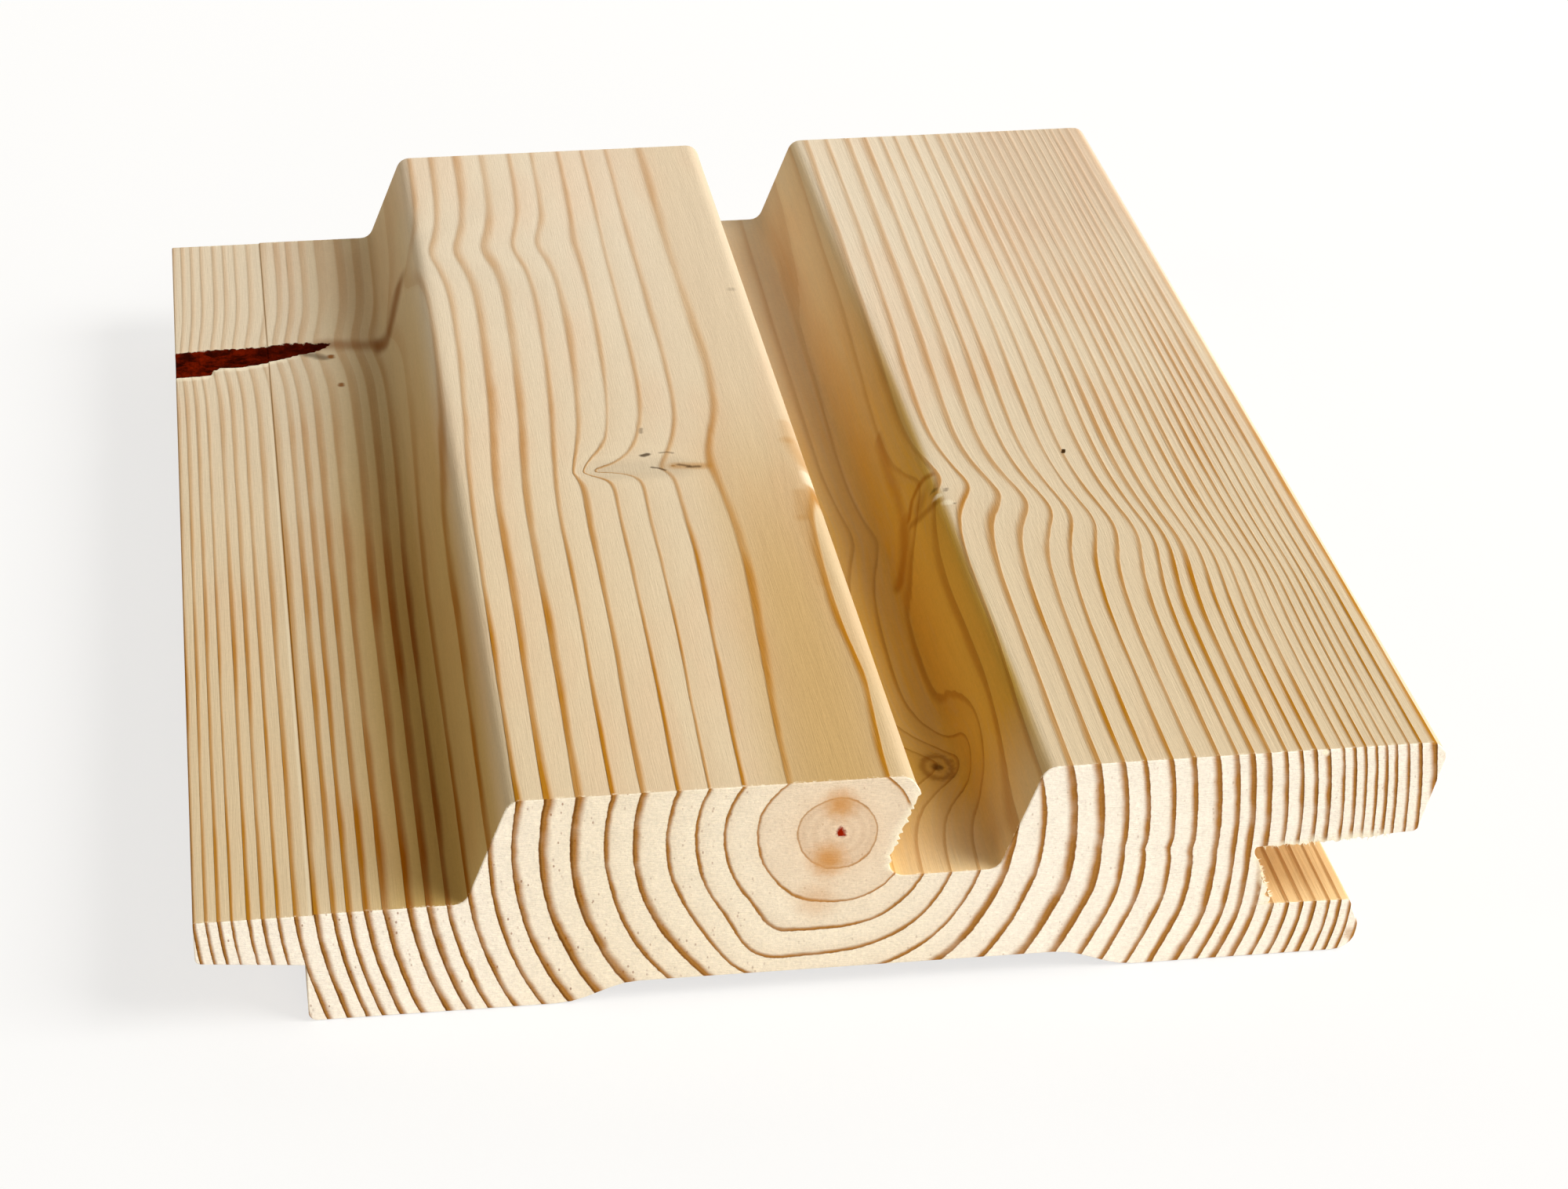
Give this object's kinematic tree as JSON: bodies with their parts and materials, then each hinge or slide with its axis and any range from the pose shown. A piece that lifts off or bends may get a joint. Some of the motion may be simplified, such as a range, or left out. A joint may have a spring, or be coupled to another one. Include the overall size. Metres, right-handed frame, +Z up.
{
  "type": "cladding board",
  "caption": "Softwood tongue-and-groove cladding board with slanted raised lands, an undercut face groove between them, a tongue along an edge and a slot along the other.",
  "frame": {"origin": "on the plane of the bearing strips of the back, below the centre of the board's box", "axes": "+X across the board from the tongue to the slotted edge, +Y along the grain away from the pictured end, +Z up through the face"},
  "size_m": [0.146, 0.214, 0.027],
  "materials": {
    "softwood": "planed, uncoated, with open end grain"
  },
  "bodies": {
    "root": {"cladding_board": "softwood"}
  },
  "joints": []
}
